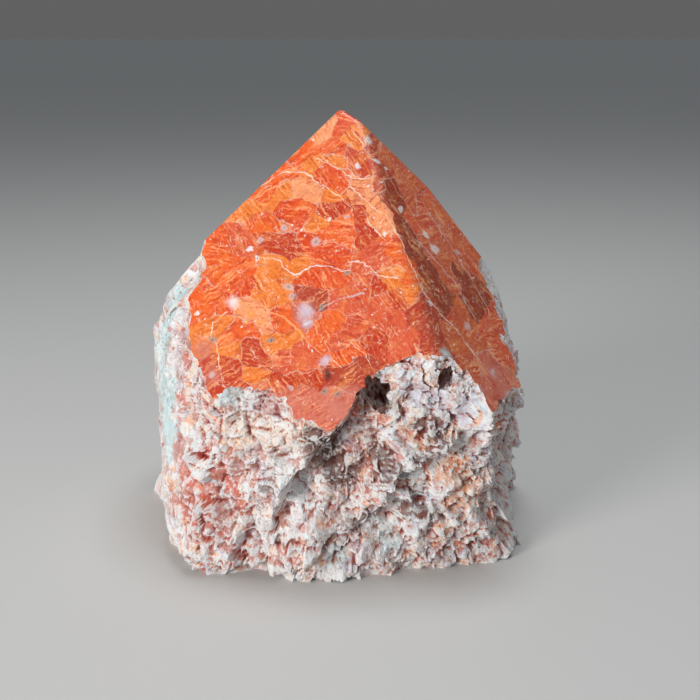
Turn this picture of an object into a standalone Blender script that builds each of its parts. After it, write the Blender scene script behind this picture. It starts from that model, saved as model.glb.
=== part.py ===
"""A sunstone point: one block of orange feldspar, broken rough all round, sawn flat below and ground to a point.

The rough block is a ball of triangles drawn in to a ring of leaning planes, then stepped, dented and chipped.
A second solid, the ground point, holds the polished faces and the sawn base. The stone is where the two overlap.
Metres, +Z up. The front of the stone looks along -Y. Azimuths are in degrees from the front, positive to the right.
"""

import math
import random

import bmesh
import bpy
import numpy as np
from mathutils import Euler, Matrix, Vector, noise

MM = 0.001

# Overall size
HEIGHT = 95 * MM
POINT_X = 1.7 * MM
TIP_ROUNDING = 1.1 * MM

# The ground faces: name, azimuth, slope from level in degrees, and how far each stands out past the point
POLISHED_FACES = (
    ("front", -12.7, 56.3, 0.0),
    ("right", 49.0, 52.5, 1.7 * MM),
    ("back_right_upper", 125.0, 49.0, -0.8 * MM),
    ("back_right_lower", 127.0, 64.0, 4.7 * MM),
    ("back_left", 190.0, 57.0, 0.0),
    ("left", -112.0, 50.0, 0.0),
)
RIDGE_ROUNDING = 1.3 * MM
RIDGE_SEGMENTS = 3

# The broken sides: name, azimuth, reach from the axis, the height it is measured at, and lean inwards in degrees
BROKEN_SIDES = (
    ("front_left", -8.0, 35.3 * MM, 20 * MM, -2.8),
    ("front_right", 12.4, 35.9 * MM, 20 * MM, -7.2),
    ("left_corner", -54.0, 41.9 * MM, 20 * MM, 2.0),
    ("left_shoulder", -70.0, 36.3 * MM, 60 * MM, 24.0),
    ("left_low", -84.0, 41.6 * MM, 32 * MM, -4.0),
    ("left_high", -86.0, 34.8 * MM, 60 * MM, 35.0),
    ("right_corner", 52.0, 45.4 * MM, 25 * MM, -1.0),
    ("right_low", 84.0, 40.2 * MM, 30 * MM, 2.0),
    ("right_high", 80.0, 34.6 * MM, 60 * MM, 27.0),
    ("back_right", 138.0, 40.0 * MM, 30 * MM, 3.0),
    ("back", 182.0, 31.5 * MM, 30 * MM, 2.0),
    ("back_left", -136.0, 41.5 * MM, 30 * MM, 4.0),
)
BLOCK_CENTRE = Vector((0, 0, 40 * MM))
BLOCK_TOP = 62 * MM
BLOCK_BOTTOM = 48 * MM
CORNER_POWER = 20
BALL_SUBDIVISIONS = 7

# Steps across the broken sides: azimuth of the side, crest start and end as (across, up), drop, and reach
STEPS = (
    (0, (9.0, 48.0), (-9.5, 20.5), 7.0, 7.5),
    (0, (32.0, 39.5), (9.0, 19.0), 5.0, 6.5),
    (0, (15.5, 18.5), (-4.5, 6.5), 3.8, 5.0),
    (0, (34.0, 22.0), (19.0, 8.0), 2.4, 5.0),
    (-25, (-17.0, 21.0), (-32.0, 5.0), 1.6, 5.0),
    (70, (12.0, 38.0), (-14.0, 30.0), 2.6, 6.0),
    (96, (20.0, 21.0), (-12.0, 12.0), 3.0, 6.0),
    (150, (18.0, 44.0), (-14.0, 27.0), 4.0, 7.0),
    (185, (20.0, 24.0), (-12.0, 34.0), 3.6, 6.0),
    (200, (14.0, 8.0), (-20.0, 17.0), 3.2, 6.0),
    (-125, (16.0, 42.0), (-12.0, 22.0), 3.0, 7.0),
)
STEP_WIDTH = 1.6 * MM

# Dents: azimuth of the side, (across, up) of the middle, half width, half height and depth
DENTS = (
    (0, (5.0, 28.0), 9.0, 9.0, 1.8),
    (80, (-4.0, 17.0), 17.0, 13.0, 2.2),
    (0, (-13.0, 21.0), 2.2, 2.6, 1.6),
    (0, (-10.5, 14.0), 2.4, 3.4, 3.2),
    (8, (16.0, 15.5), 4.0, 2.4, 1.8),
    (0, (-16.0, -1.0), 8.5, 4.0, 4.0),
    (0, (2.0, -1.0), 3.0, 3.0, 3.0),
    (8, (23.0, -1.0), 3.0, 2.6, 2.6),
    (-55, (-2.0, -1.5), 6.0, 4.0, 3.0),
    (84, (6.0, -1.5), 5.0, 4.0, 3.2),
    (150, (-4.0, -1.5), 7.0, 4.5, 3.6),
    (195, (6.0, -1.5), 9.0, 4.0, 3.6),
    (-115, (3.0, -1.5), 6.0, 4.0, 3.0),
    (184, (-8.0, 30.0), 16.0, 14.0, 2.0),
)

# Lumps: azimuth of the side, (across, up) of the middle, half width, half height and how far it stands out
LUMPS = (
    (0, (-3.0, 40.0), 9.0, 6.0, 1.4),
    (0, (30.0, 40.0), 10.0, 9.0, 3.2),
    (-84, (-16.8, 2.5), 5.4, 8.5, 5.0),
    (-20, (-20.0, 12.0), 12.0, 12.0, 1.6),
    (62, (-3.0, 1.0), 9.0, 6.0, 1.2),
    (70, (-8.0, 36.0), 14.0, 5.0, 1.2),
)

# Pits under the polished lip: place, half sizes and tilt in degrees
PITS = (
    ("pit_under_lip", (8.4, -31.5, 41.5), (2.9, 7.5, 4.6), -24),
    ("pit_beside_ridge", (22.0, -33.0, 45.0), (1.9, 4.2, 2.5), 12),
)

# Broken relief: slow swells, and grains of feldspar that each break in steps along a cleavage of their own
SWELL_SIZE = 24 * MM
SWELL_DEPTH = 1.5 * MM
GRAIN_COUNT = 760
GRAIN_WARP = 2.2 * MM
GRAIN_OFFSET = 0.55 * MM
CLEAVAGE_STEP = (1.3 * MM, 2.8 * MM)
CLEAVAGE_TILT = (12, 42)
CLEAVAGE_AZIMUTH = 125
CLEAVAGE_SPREAD = 70
RISER_SHARE = 0.25
EVENING_PASSES = 2
CHIP_COUNT = 150
CHIP_RADIUS = (2.6 * MM, 8.0 * MM)
CHIP_DEPTH = (0.3 * MM, 1.3 * MM)
CHIP_TILT = 26
SMOOTH_SIDE_AZIMUTH = -92
SMOOTH_SIDE_HALF_WIDTH = 50
SMOOTH_SIDE_SHARE = 0.3
SEED = 11

# Where the unbroken block stands this far outside the polished faces, the broken relief never reaches them
CLEAR_OF_POLISH = 1.6 * MM
LEFT_TO_GRIND = 0.4 * MM

ROUGH_TRIANGLES_KEPT = 0.185
SHORTEST_EDGE = 0.00005


def toward(azimuth):
    """Level unit vector towards an azimuth."""
    turn = math.radians(azimuth)
    return Vector((math.sin(turn), -math.cos(turn), 0))


def along(azimuth):
    """Level unit vector that runs to the right across a side seen from outside."""
    turn = math.radians(azimuth)
    return Vector((math.cos(turn), math.sin(turn), 0))


def face_normal(azimuth, slope):
    """Outward normal of a plane that faces an azimuth and lies at a slope from level."""
    tilt = math.radians(slope)
    return toward(azimuth) * math.sin(tilt) + Vector((0, 0, math.cos(tilt)))


def new_object(name, mesh, collection):
    obj = bpy.data.objects.new(name, mesh)
    collection.objects.link(obj)
    return obj


def make_helper(obj):
    obj.hide_render = True
    obj.display_type = "WIRE"


def polished_planes():
    """(point, outward normal) of each ground face."""
    tip = Vector((POINT_X, 0, HEIGHT + TIP_ROUNDING))
    for _, azimuth, slope, outset in POLISHED_FACES:
        normal = face_normal(azimuth, slope)
        yield tip + normal * outset, normal


def block_planes():
    """(unit normals, distances from the block's centre) of the planes round the rough block."""
    normals = [Vector((0, 0, 1)), Vector((0, 0, -1))]
    distances = [BLOCK_TOP, BLOCK_BOTTOM]
    for _, azimuth, reach, height, lean in BROKEN_SIDES:
        normal = face_normal(azimuth, 90 - lean)
        on_plane = toward(azimuth) * reach + Vector((0, 0, height))
        normals.append(normal)
        distances.append(normal.dot(on_plane - BLOCK_CENTRE))
    return np.array(normals), np.array(distances)


def drawn_to_planes(directions):
    """Reach of rays from the block's centre to its planes, with the corners rounded, and the outward normals there."""
    normals, distances = block_planes()
    facing = np.maximum(directions @ normals.T, 0) / distances
    total = (facing**CORNER_POWER).sum(axis=1) ** (1 / CORNER_POWER)
    outward = ((facing / total[:, None]) ** (CORNER_POWER - 1)) @ normals
    outward /= np.linalg.norm(outward, axis=1)[:, None]
    return 1 / total, outward


def ease(x):
    x = np.clip(x, 0, 1)
    return x * x * (3 - 2 * x)


def side_view(points, outward, azimuth):
    """(across, up, share) of each point as seen from an azimuth, where share fades out on sides that face away."""
    across = points @ np.array(along(azimuth))
    share = ease((outward @ np.array(toward(azimuth)) - 0.1) / 0.5)
    return across, points[:, 2], share


def step_lift(points, outward, step):
    """How far a step raises the ground above its crest and lowers it below."""
    azimuth, start, end, drop, reach = step
    across, up, share = side_view(points, outward, azimuth)
    start, end = np.array(start) * MM, np.array(end) * MM
    length = np.linalg.norm(end - start)
    run = (end - start) / length
    fall = np.array((-run[1], run[0]))
    offset = np.stack((across, up), axis=1) - start
    wander = np.array([noise.noise(Vector(p) / (7 * MM)) for p in points]) * 1.6 * MM
    beside = offset @ fall + wander
    share = share * ease(offset @ run / (0.2 * length) + 0.6) * ease((length - offset @ run) / (0.25 * length) + 0.6)
    crest = np.exp(np.minimum(beside, 0) / (reach * MM * 1.3))
    foot = np.exp(-np.maximum(beside, 0) / (reach * MM))
    edge = ease(beside / STEP_WIDTH + 0.5)
    return drop * MM * share * (0.4 * crest * (1 - edge) - 0.6 * foot * edge)


def mound_lift(points, outward, mound):
    """How far a round mound reaches out at each point."""
    azimuth, middle, half_width, half_height, depth = mound
    across, up, share = side_view(points, outward, azimuth)
    wide = (across - middle[0] * MM) / (half_width * MM)
    high = (up - middle[1] * MM) / (half_height * MM)
    return depth * MM * share * ease(1.25 * (1 - np.hypot(wide, high)) + 0.15)


def roughness(outward):
    """1 on the broken sides and less on the smoother left side."""
    facing = outward @ np.array(toward(SMOOTH_SIDE_AZIMUTH))
    edge = math.cos(math.radians(SMOOTH_SIDE_HALF_WIDTH))
    return 1 - (1 - SMOOTH_SIDE_SHARE) * ease((facing - edge) / (1 - edge) * 2.0)


def swell_lift(points):
    """Slow swells over the whole block."""
    return SWELL_DEPTH * np.array([noise.noise(Vector(p) / SWELL_SIZE) for p in points])


def grains(rng):
    """Middle, offset, step height and cleavage normal of each grain of feldspar."""
    table = []
    for _ in range(GRAIN_COUNT):
        direction = np.array([rng.gauss(0, 1), rng.gauss(0, 1), rng.gauss(0, 0.8)])
        direction /= np.linalg.norm(direction)
        reach, outward = drawn_to_planes(direction[None])
        middle = np.array(BLOCK_CENTRE) + direction * reach[0] * rng.uniform(0.93, 1.03)
        tilt = math.radians(rng.uniform(*CLEAVAGE_TILT))
        turn = math.radians(CLEAVAGE_AZIMUTH + rng.uniform(-CLEAVAGE_SPREAD, CLEAVAGE_SPREAD))
        right = Vector((0, 0, 1)).cross(Vector(outward[0])).normalized()
        upward = Vector(outward[0]).cross(right)
        sideways = right * math.sin(turn) + upward * math.cos(turn)
        cleavage = Vector(outward[0]) * math.cos(tilt) + sideways * math.sin(tilt)
        table.append((middle, rng.uniform(-1, 1) * GRAIN_OFFSET, rng.uniform(*CLEAVAGE_STEP), cleavage))
    return [np.array(column) for column in zip(*table)]


def cleavage_lift(points, outward, rough):
    """Flat treads square to the cleavage of the nearest grain, with steep risers between them."""
    middles, offsets, steps, cleavages = grains(random.Random(SEED))
    shifts = (Vector((0, 0, 0)), Vector((31, 7, 19)), Vector((11, 43, 5)))
    warp = np.array([[noise.noise(Vector(p) / (6 * MM) + shift) for shift in shifts] for p in points])
    warped = points + warp * GRAIN_WARP
    nearest = np.array([np.argmin(((middles - p) ** 2).sum(axis=1)) for p in warped])
    step = steps[nearest]
    along_cleavage = (points * cleavages[nearest]).sum(axis=1) / step
    fraction = along_cleavage - np.floor(along_cleavage)
    sawtooth = np.where(fraction < 1 - RISER_SHARE, fraction, (1 - fraction) / RISER_SHARE * (1 - RISER_SHARE))
    lean = np.maximum((outward * cleavages[nearest]).sum(axis=1), 0.5)
    return (offsets[nearest] + (0.4 - sawtooth) * step / lean) * rough


def evened(reach, edges):
    """Each reach averaged with those beside it, so that steps come out a little rounded."""
    total = np.zeros_like(reach)
    count = np.zeros_like(reach)
    for here, there in ((0, 1), (1, 0)):
        np.add.at(total, edges[:, here], reach[edges[:, there]])
        np.add.at(count, edges[:, here], 1)
    return 0.5 * reach + 0.5 * total / count


def chipped(directions, reach, outward, rough):
    """Flat chips struck off at random: rays that reach past a chip's plane are cut short at it."""
    rng = random.Random(SEED)
    for _ in range(CHIP_COUNT):
        middle = rng.randrange(len(reach))
        radius = rng.uniform(*CHIP_RADIUS)
        depth = rng.uniform(*CHIP_DEPTH) * rough[middle]
        tilt = Euler([math.radians(rng.uniform(-CHIP_TILT, CHIP_TILT)) for _ in range(3)])
        normal = np.array(tilt.to_matrix() @ Vector(outward[middle]))
        points = directions * reach[:, None]
        away = np.linalg.norm(points - points[middle], axis=1) / radius
        facing = directions @ normal
        near = (away < 1.4) & (facing > 0.2)
        over = np.maximum(reach[near] - (points[middle] @ normal - depth) / facing[near], 0)
        reach[near] -= over * (1 - ease((away[near] - 0.7) / 0.7))
    return reach


def kept_for_grinding(directions, unbroken, reach):
    """Keeps the broken surface clear of the polished faces wherever the unbroken block stood well outside them."""
    for place, normal in polished_planes():
        facing = directions @ np.array(normal)
        ground = normal.dot(place - BLOCK_CENTRE)
        clear = (facing > 0.05) & (unbroken * facing - ground > CLEAR_OF_POLISH)
        reach[clear] = np.maximum(reach[clear], (ground + LEFT_TO_GRIND) / facing[clear])
    return reach


def rough_block(collection):
    """The broken block, before it is ground and sawn."""
    mesh = bpy.data.meshes.new("rough_block")
    bm = bmesh.new()
    bmesh.ops.create_icosphere(bm, subdivisions=BALL_SUBDIVISIONS, radius=1)
    directions = np.array([v.co.normalized() for v in bm.verts])
    edges = np.array([[v.index for v in edge.verts] for edge in bm.edges])
    unbroken, outward = drawn_to_planes(directions)
    points = directions * unbroken[:, None] + np.array(BLOCK_CENTRE)
    rough = roughness(outward)
    lift = swell_lift(points) + cleavage_lift(points, outward, rough)
    for step in STEPS:
        lift += step_lift(points, outward, step)
    for lump in LUMPS:
        lift += mound_lift(points, outward, lump)
    for dent in DENTS:
        lift -= mound_lift(points, outward, dent)
    reach = unbroken + lift / np.maximum((outward * directions).sum(axis=1), 0.4)
    reach = chipped(directions, reach, outward, rough)
    for _ in range(EVENING_PASSES):
        reach = evened(reach, edges)
    reach = kept_for_grinding(directions, unbroken, reach)
    for vert, direction, distance in zip(bm.verts, directions, reach):
        vert.co = BLOCK_CENTRE + Vector(direction * distance)
    bm.to_mesh(mesh)
    bm.free()
    return new_object("rough_block", mesh, collection)


def sliced(bm, place, normal):
    """Cuts off what lies past a plane and closes the cut with one face."""
    everything = bm.verts[:] + bm.edges[:] + bm.faces[:]
    cut = bmesh.ops.bisect_plane(bm, geom=everything, plane_co=place, plane_no=normal, clear_outer=True)
    rim = [part for part in cut["geom_cut"] if isinstance(part, bmesh.types.BMEdge)]
    bmesh.ops.contextual_create(bm, geom=rim)


def ground_point(collection):
    """The solid that bounds the polished faces and the sawn base, with its ridges rounded."""
    wedge = bmesh.new()
    bmesh.ops.create_cube(wedge, size=5 * HEIGHT)
    for place, normal in polished_planes():
        sliced(wedge, place, normal)
    bmesh.ops.remove_doubles(wedge, verts=wedge.verts, dist=SHORTEST_EDGE)
    wedge.normal_update()
    ridges = [edge for edge in wedge.edges if all(face.normal.z > 0.1 for face in edge.link_faces)]
    bmesh.ops.bevel(
        wedge, geom=ridges, offset=RIDGE_ROUNDING, segments=RIDGE_SEGMENTS, profile=0.5, affect="EDGES"
    )
    sliced(wedge, Vector((0, 0, 0)), Vector((0, 0, -1)))
    bmesh.ops.remove_doubles(wedge, verts=wedge.verts, dist=SHORTEST_EDGE)
    hull = bmesh.new()
    for vert in wedge.verts:
        hull.verts.new(vert.co)
    wedge.free()
    bmesh.ops.convex_hull(hull, input=hull.verts)
    bmesh.ops.delete(hull, geom=[vert for vert in hull.verts if not vert.link_faces], context="VERTS")
    bmesh.ops.recalc_face_normals(hull, faces=hull.faces)
    mesh = bpy.data.meshes.new("ground_point")
    hull.to_mesh(mesh)
    hull.free()
    obj = new_object("ground_point", mesh, collection)
    make_helper(obj)
    return obj


def pit_cutter(name, place, half_sizes, tilt, collection):
    """A lumpy ball that hollows out a pit below the polished lip."""
    mesh = bpy.data.meshes.new(name)
    bm = bmesh.new()
    bmesh.ops.create_icosphere(bm, subdivisions=3, radius=1)
    for vert in bm.verts:
        vert.co *= 1 + 0.35 * noise.noise(vert.co * 1.6 + Vector(place))
    bm.to_mesh(mesh)
    bm.free()
    mesh.transform(Matrix.Diagonal(Vector(half_sizes) * MM).to_4x4())
    obj = new_object(name, mesh, collection)
    obj.location = Vector(place) * MM
    obj.rotation_euler = (0, math.radians(tilt), 0)
    make_helper(obj)
    return obj


def add_boolean(obj, operation, other):
    modifier = obj.modifiers.new(f"{operation.lower()} {other.name}", "BOOLEAN")
    modifier.operation = operation
    modifier.use_self = True
    modifier.object = other


def stone_material():
    material = bpy.data.materials.new("sunstone")
    material.use_nodes = True
    shader = material.node_tree.nodes["Principled BSDF"]
    shader.inputs["Base Color"].default_value = (0.72, 0.24, 0.10, 1)
    shader.inputs["Roughness"].default_value = 0.35
    shader.inputs["Metallic"].default_value = 0.0
    return material


def shorten(bm):
    """Draws the ends of very short edges together, one edge at a time, where the surface stays closed."""
    found = True
    while found:
        found = False
        for edge in sorted(bm.edges, key=lambda e: e.calc_length()):
            if edge.calc_length() > SHORTEST_EDGE:
                break
            first, second = edge.verts
            around = [{e.other_vert(v) for e in v.link_edges} for v in (first, second)]
            if len(around[0] & around[1]) == 2:
                bmesh.ops.pointmerge(bm, verts=[first, second], merge_co=first.co)
                found = True
                break


def cleaned(mesh):
    """Splits every face into triangles, clears the slivers that a cut leaves, and centres the stone on its base."""
    bm = bmesh.new()
    bm.from_mesh(mesh)
    bmesh.ops.triangulate(bm, faces=bm.faces)
    shorten(bm)
    bmesh.ops.dissolve_degenerate(bm, dist=SHORTEST_EDGE, edges=bm.edges)
    bmesh.ops.triangulate(bm, faces=bm.faces)
    for axis in (0, 1):
        low = min(vert.co[axis] for vert in bm.verts)
        high = max(vert.co[axis] for vert in bm.verts)
        for vert in bm.verts:
            vert.co[axis] -= (low + high) / 2
    bm.to_mesh(mesh)
    bm.free()
    return mesh


def sunstone_point(parts, helpers):
    block = rough_block(helpers)
    thin = block.modifiers.new("thin out", "DECIMATE")
    thin.ratio = ROUGH_TRIANGLES_KEPT
    for name, place, half_sizes, tilt in PITS:
        add_boolean(block, "DIFFERENCE", pit_cutter(name, place, half_sizes, tilt, helpers))
    add_boolean(block, "INTERSECT", ground_point(helpers))
    shaped = block.evaluated_get(bpy.context.evaluated_depsgraph_get())
    stone = new_object("sunstone_point", cleaned(bpy.data.meshes.new_from_object(shaped)), parts)
    bpy.data.objects.remove(block)
    stone.data.name = "sunstone_point"
    stone.data.materials.clear()
    stone.data.materials.append(stone_material())
    stone.data.shade_smooth()
    stone.data.set_sharp_from_angle(angle=math.radians(18))
    return stone


def main():
    for obj in list(bpy.data.objects):
        bpy.data.objects.remove(obj)
    parts = bpy.data.collections.new("sunstone point")
    helpers = bpy.data.collections.new("cutters")
    for collection in (parts, helpers):
        bpy.context.scene.collection.children.link(collection)
    sunstone_point(parts, helpers)


main()
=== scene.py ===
"""Looks of the sunstone point: a crust in fine relief, polished grains with their veins, and a studio.

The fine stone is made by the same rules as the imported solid, which it replaces: a rough block, drawn from a
ball of triangles, cut by a second solid that holds the polished faces and the sawn base. Metres, +Z up, in
the frame's axes.
"""

import functools
import inspect
import itertools
import math
import random

import bmesh
import bpy
import numpy as np
from mathutils import Euler, Matrix, Vector, noise
from mathutils.bvhtree import BVHTree

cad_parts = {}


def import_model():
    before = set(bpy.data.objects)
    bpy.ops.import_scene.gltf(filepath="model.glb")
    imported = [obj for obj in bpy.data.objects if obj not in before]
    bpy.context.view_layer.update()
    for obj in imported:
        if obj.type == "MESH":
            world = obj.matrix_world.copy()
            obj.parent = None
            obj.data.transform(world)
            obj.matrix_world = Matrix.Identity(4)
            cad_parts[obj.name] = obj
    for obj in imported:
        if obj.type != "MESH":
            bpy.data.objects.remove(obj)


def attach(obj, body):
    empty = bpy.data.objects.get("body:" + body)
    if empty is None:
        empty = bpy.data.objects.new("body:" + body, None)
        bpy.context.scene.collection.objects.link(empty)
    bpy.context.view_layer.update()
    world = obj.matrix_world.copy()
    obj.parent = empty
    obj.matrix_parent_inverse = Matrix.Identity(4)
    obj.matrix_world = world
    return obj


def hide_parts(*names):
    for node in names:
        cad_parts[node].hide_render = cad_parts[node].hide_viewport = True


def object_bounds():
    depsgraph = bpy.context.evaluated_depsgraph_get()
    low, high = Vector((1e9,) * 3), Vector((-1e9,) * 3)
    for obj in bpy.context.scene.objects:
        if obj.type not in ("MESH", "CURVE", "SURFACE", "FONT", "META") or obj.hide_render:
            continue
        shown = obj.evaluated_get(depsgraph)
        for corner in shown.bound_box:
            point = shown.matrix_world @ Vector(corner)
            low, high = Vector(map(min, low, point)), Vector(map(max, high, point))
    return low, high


MM = 0.001

# Overall size
HEIGHT = 95 * MM
POINT_X = 1.7 * MM
TIP_ROUNDING = 1.1 * MM

# The ground faces: name, azimuth, slope from level in degrees, and how far each stands out past the point
POLISHED_FACES = (
    ("front", -12.7, 56.3, 0.0),
    ("right", 49.0, 52.5, 1.7 * MM),
    ("back_right_upper", 125.0, 49.0, -0.8 * MM),
    ("back_right_lower", 127.0, 64.0, 4.7 * MM),
    ("back_left", 190.0, 57.0, 0.0),
    ("left", -112.0, 50.0, 0.0),
)
RIDGE_ROUNDING = 1.3 * MM
RIDGE_SEGMENTS = 5

# The broken sides: name, azimuth, reach from the axis, the height it is measured at, and lean inwards
BROKEN_SIDES = (
    ("front_left", -8.0, 35.3 * MM, 20 * MM, -2.8),
    ("front_right", 12.4, 35.9 * MM, 20 * MM, -7.2),
    ("left_corner", -54.0, 41.9 * MM, 20 * MM, 2.0),
    ("left_shoulder", -70.0, 36.3 * MM, 60 * MM, 24.0),
    ("left_low", -84.0, 41.6 * MM, 32 * MM, -4.0),
    ("left_high", -86.0, 34.8 * MM, 60 * MM, 35.0),
    ("right_corner", 52.0, 45.4 * MM, 25 * MM, -1.0),
    ("right_low", 84.0, 40.2 * MM, 30 * MM, 2.0),
    ("right_high", 80.0, 34.6 * MM, 60 * MM, 27.0),
    ("back_right", 138.0, 40.0 * MM, 30 * MM, 3.0),
    ("back", 182.0, 31.5 * MM, 30 * MM, 2.0),
    ("back_left", -136.0, 41.5 * MM, 30 * MM, 4.0),
)
BLOCK_CENTRE = Vector((0, 0, 40 * MM))
BLOCK_TOP = 62 * MM
BLOCK_BOTTOM = 48 * MM
CORNER_POWER = 20
BALL_SUBDIVISIONS = 7

# Steps across the broken sides: azimuth of the side, crest start and end as (across, up), drop, and reach
STEPS = (
    (0, (9.0, 48.0), (-9.5, 20.5), 7.0, 7.5),
    (0, (32.0, 39.5), (9.0, 19.0), 5.0, 6.5),
    (0, (15.5, 18.5), (-4.5, 6.5), 3.8, 5.0),
    (0, (34.0, 22.0), (19.0, 8.0), 2.4, 5.0),
    (-25, (-17.0, 21.0), (-32.0, 5.0), 1.6, 5.0),
    (70, (12.0, 38.0), (-14.0, 30.0), 2.6, 6.0),
    (96, (20.0, 21.0), (-12.0, 12.0), 3.0, 6.0),
    (150, (18.0, 44.0), (-14.0, 27.0), 4.0, 7.0),
    (185, (20.0, 24.0), (-12.0, 34.0), 3.6, 6.0),
    (200, (14.0, 8.0), (-20.0, 17.0), 3.2, 6.0),
    (-125, (16.0, 42.0), (-12.0, 22.0), 3.0, 7.0),
)
STEP_WIDTH = 1.6 * MM
CREST_WANDER = 1.6 * MM
CREST_WAVE = 7 * MM

# Dents: azimuth of the side, (across, up) of the middle, half width, half height and depth
DENTS = (
    (0, (5.0, 28.0), 9.0, 9.0, 1.8),
    (80, (-4.0, 17.0), 17.0, 13.0, 2.2),
    (0, (-13.0, 21.0), 2.2, 2.6, 1.6),
    (0, (-10.5, 14.0), 2.4, 3.4, 3.2),
    (8, (16.0, 15.5), 4.0, 2.4, 1.8),
    (0, (-16.0, -1.0), 8.5, 4.0, 4.0),
    (0, (2.0, -1.0), 3.0, 3.0, 3.0),
    (8, (23.0, -1.0), 3.0, 2.6, 2.6),
    (-55, (-2.0, -1.5), 6.0, 4.0, 3.0),
    (84, (6.0, -1.5), 5.0, 4.0, 3.2),
    (150, (-4.0, -1.5), 7.0, 4.5, 3.6),
    (195, (6.0, -1.5), 9.0, 4.0, 3.6),
    (-115, (3.0, -1.5), 6.0, 4.0, 3.0),
    (184, (-8.0, 30.0), 16.0, 14.0, 2.0),
)

# Lumps: azimuth of the side, (across, up) of the middle, half width, half height and how far it stands out
LUMPS = (
    (0, (-3.0, 40.0), 9.0, 6.0, 1.4),
    (0, (30.0, 40.0), 10.0, 9.0, 3.2),
    (-84, (-16.8, 2.5), 5.4, 8.5, 5.0),
    (-20, (-20.0, 12.0), 12.0, 12.0, 1.6),
    (62, (-3.0, 1.0), 9.0, 6.0, 1.2),
    (70, (-8.0, 36.0), 14.0, 5.0, 1.2),
)

# Pits under the polished lip: place, half sizes and tilt in degrees
PITS = (
    ("pit_under_lip", (8.4, -31.5, 41.5), (2.9, 7.5, 4.6), -24),
    ("pit_beside_ridge", (22.0, -33.0, 45.0), (1.9, 4.2, 2.5), 12),
)

# Broken relief: slow swells, and grains of feldspar that each break in steps along a cleavage of their own
SWELL_SIZE = 24 * MM
SWELL_DEPTH = 1.5 * MM
GRAIN_COUNT = 760
GRAIN_WARP = 2.2 * MM
GRAIN_WARP_SIZE = 6 * MM
GRAIN_OFFSET = 0.55 * MM
CLEAVAGE_STEP = (1.3 * MM, 2.8 * MM)
CLEAVAGE_TILT = (12, 42)
CLEAVAGE_AZIMUTH = 125
CLEAVAGE_SPREAD = 70
RISER_SHARE = 0.25
EVENING_PASSES = 2
CHIP_COUNT = 150
CHIP_RADIUS = (2.6 * MM, 8.0 * MM)
CHIP_DEPTH = (0.3 * MM, 1.3 * MM)
CHIP_TILT = 26
SMOOTH_SIDE_AZIMUTH = -92
SMOOTH_SIDE_HALF_WIDTH = 50
SMOOTH_SIDE_SHARE = 0.3
SEED = 11

# Where the unbroken block stands this far outside the polished faces, the broken relief never reaches them
CLEAR_OF_POLISH = 1.6 * MM
LEFT_TO_GRIND = 0.4 * MM

# The shoulder that is rubbed smooth at the right, below the polish
WORN_AZIMUTH = 90
WORN_HALF_WIDTH = 18
WORN_HEIGHT = 39 * MM
WORN_FADE = 8 * MM
WORN_SHARE_OF_RELIEF = 0.8
WORN_SHARE_OF_CRUMBS = 0.75

# Crust: layers of crumbs as (size, how far each stands in or out, slope of its top), on ragged ledges
CRUMBS = (
    (4.6 * MM, 0.55 * MM, 0.36),
    (2.1 * MM, 0.28 * MM, 0.42),
    (1.0 * MM, 0.12 * MM, 0.42),
)
CRUMB_WARP = 0.35
CRUMB_FALL = 0.5
RAGGED = 1.0 * MM
RAGGED_SIZE = 3.4 * MM
LATTICE = 32

# The fine mesh. The crust is divided where it shows, up to a margin past the cuts, and then thinned out
CRUST_CUTS = 2
CRUST_MARGIN = 1.2 * MM
CRUST_TRIANGLES = 236000
PIT_SUBDIVISIONS = 5
SHORTEST_EDGE = 0.05 * MM
SLIVER = 0.01 * MM
SHARP_ANGLE = 38

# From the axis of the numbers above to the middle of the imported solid's box
SHIFT = Vector((1.46, 3.31, 0)) * MM

# Attributes for hollows, fine and wide ones, and how often the ground around them is evened for each
# The broken stone's colour paints shade into these hollows and paints highlights on the edges that stand out
HOLLOWS = (("hollow_fine", 3), ("hollow_wide", 24))

# Where the lights point
AIM = Vector((0, 0, 45)) * MM

# The photograph's camera. Its focal length and middle are in pixels of the photograph
CAMERA_PLACE = Vector((4.46, -240.49, 110.7)) * MM
CAMERA_PITCH = 16.0
FOCAL = 1100
MIDDLE = 350
SENSOR = 36

# Pixels that miss the stone are placed at this depth from the camera
STONE_DISTANCE = 209 * MM

# Colours of the feldspar and of what grows in it, as red, green and blue from 0 to 255
COLOURS = {
    "orange": (236, 100, 36),
    "ember": (224, 78, 30),
    "red": (182, 48, 26),
    "golden": (240, 140, 56),
    "peach": (250, 174, 122),
    "salmon": (216, 96, 66),
    "rose": (206, 122, 106),
    "maroon": (156, 62, 48),
    "rust": (204, 104, 66),
    "brown": (104, 50, 36),
    "cream": (248, 226, 208),
    "white": (240, 241, 242),
    "grey": (150, 148, 140),
    "soot": (52, 44, 42),
    "haze": (214, 190, 190),
    # Near black, for the dark middles of spots and for painted shade in a recess and a pit
    "lilac": (208, 204, 220),
    "turquoise": (200, 226, 228),
    "yellow": (248, 214, 80),
}

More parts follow.
